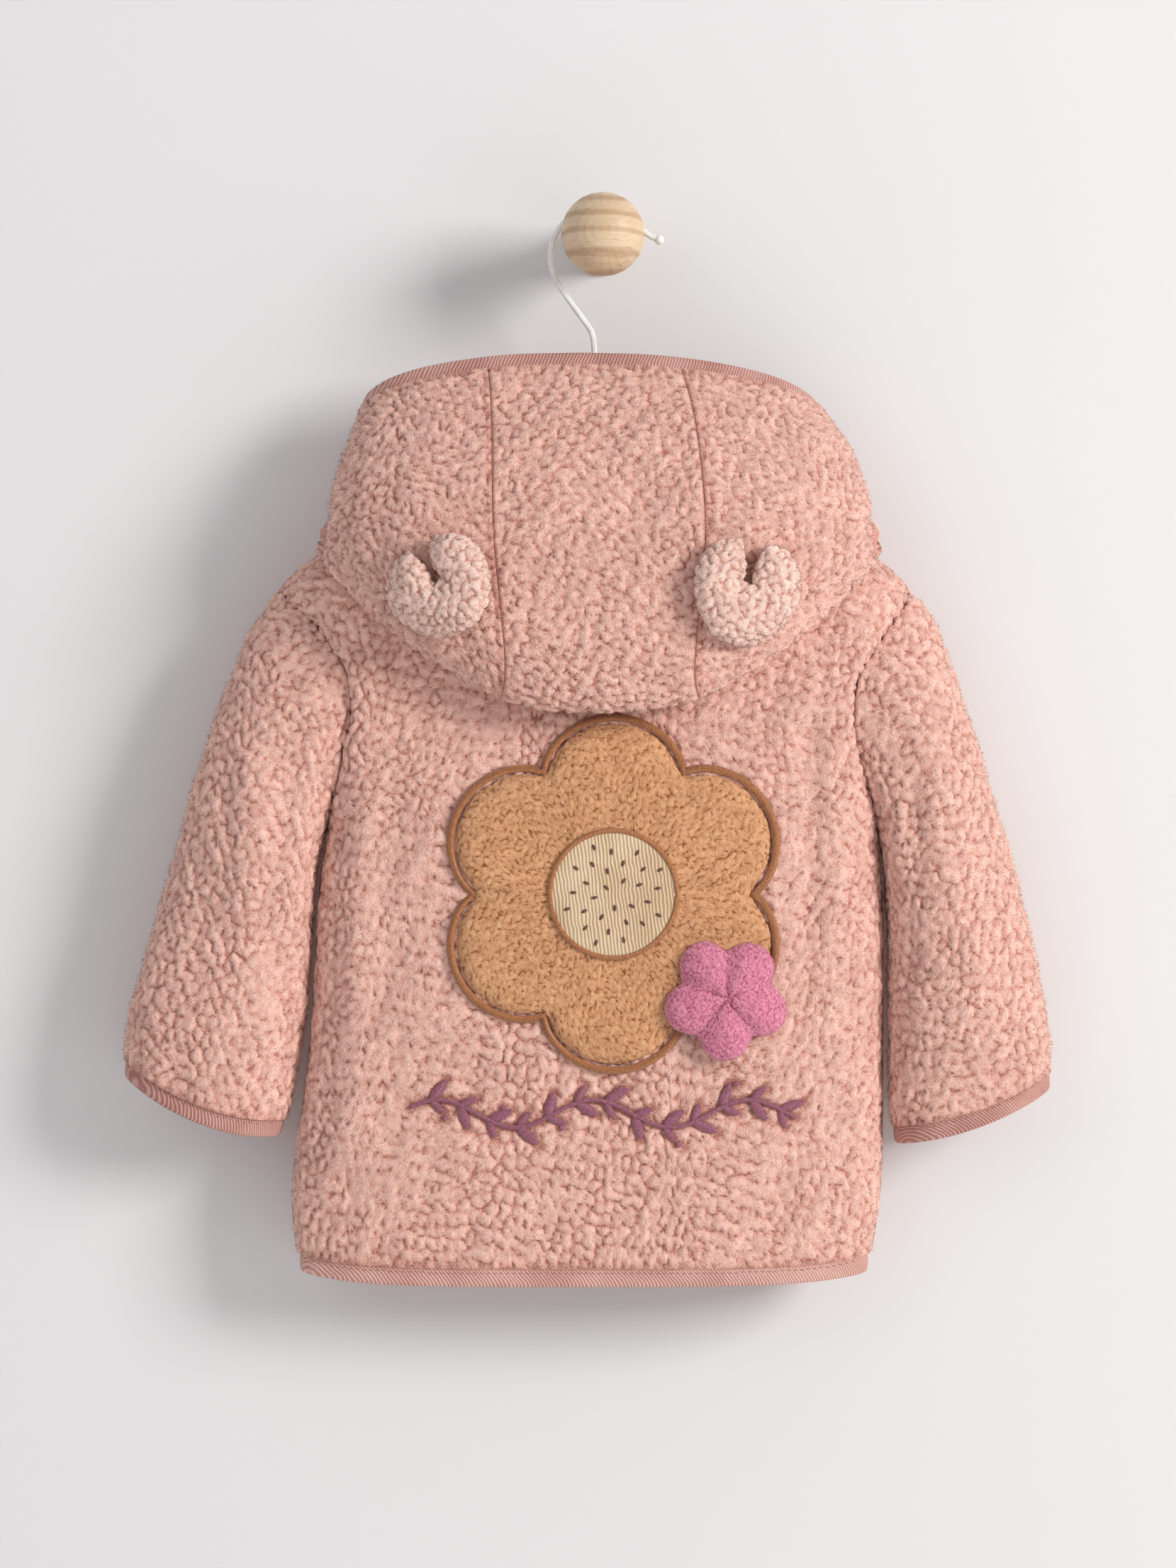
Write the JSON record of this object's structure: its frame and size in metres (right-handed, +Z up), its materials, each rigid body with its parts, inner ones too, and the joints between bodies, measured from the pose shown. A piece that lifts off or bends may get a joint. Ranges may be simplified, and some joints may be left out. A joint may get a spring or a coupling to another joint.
{
  "type": "hooded fleece jacket on a hanger and wall peg",
  "caption": "Baby's hooded teddy-fleece jacket with ears and a back appliqué, hung from a wire hanger on a round wooden wall peg.",
  "frame": {"origin": "centre of the peg's flat back, on the wall", "axes": "+Z up, +Y into the wall, the jacket's back faces -Y and the wearer's left is -X"},
  "size_m": [0.4441, 0.1097, 0.5198],
  "materials": {
    "fleece": "curly teddy fleece, soft and matt",
    "ear_fleece": "curly teddy fleece, a shade lighter",
    "twill_binding": "cotton twill tape with diagonal ribs",
    "caramel_fleece": "short teddy fleece",
    "satin_thread": "satin stitch, slightly glossy",
    "cream_thread": "filled embroidery",
    "pink_plush": "short pile plush",
    "plum_thread": "satin stitch",
    "zip_tape": "woven tape",
    "zip_metal": "satin nickel",
    "white_wire": "white coated wire",
    "peg_wood": "waxed beech with visible grain"
  },
  "bodies": {
    "root": {"back": "fleece", "front_left": "fleece", "front_right": "fleece", "sleeve_left": "fleece", "sleeve_right": "fleece", "hood_left": "fleece", "hood_centre": "fleece", "hood_right": "fleece", "ear_left": "ear_fleece", "ear_right": "ear_fleece", "hood_binding": "twill_binding", "hem_binding": "twill_binding", "cuff_binding_left": "twill_binding", "cuff_binding_right": "twill_binding", "flower": "caramel_fleece", "flower_edge": "satin_thread", "flower_heart": "cream_thread", "blossom": "pink_plush", "zip_tape_left": "zip_tape", "zip_tape_right": "zip_tape", "zip_slider": "zip_metal", "hanger": "white_wire", "peg": "peg_wood"},
    "pull": {"zip_pull": "zip_metal"}
  },
  "joints": [
    {"name": "pull_swing", "type": "hinge", "parent": "root", "child": "pull", "pos_m": [0, -0.0066, -0.1874], "axis": [1, 0, 0], "range_deg": [0, 16]}
  ]
}
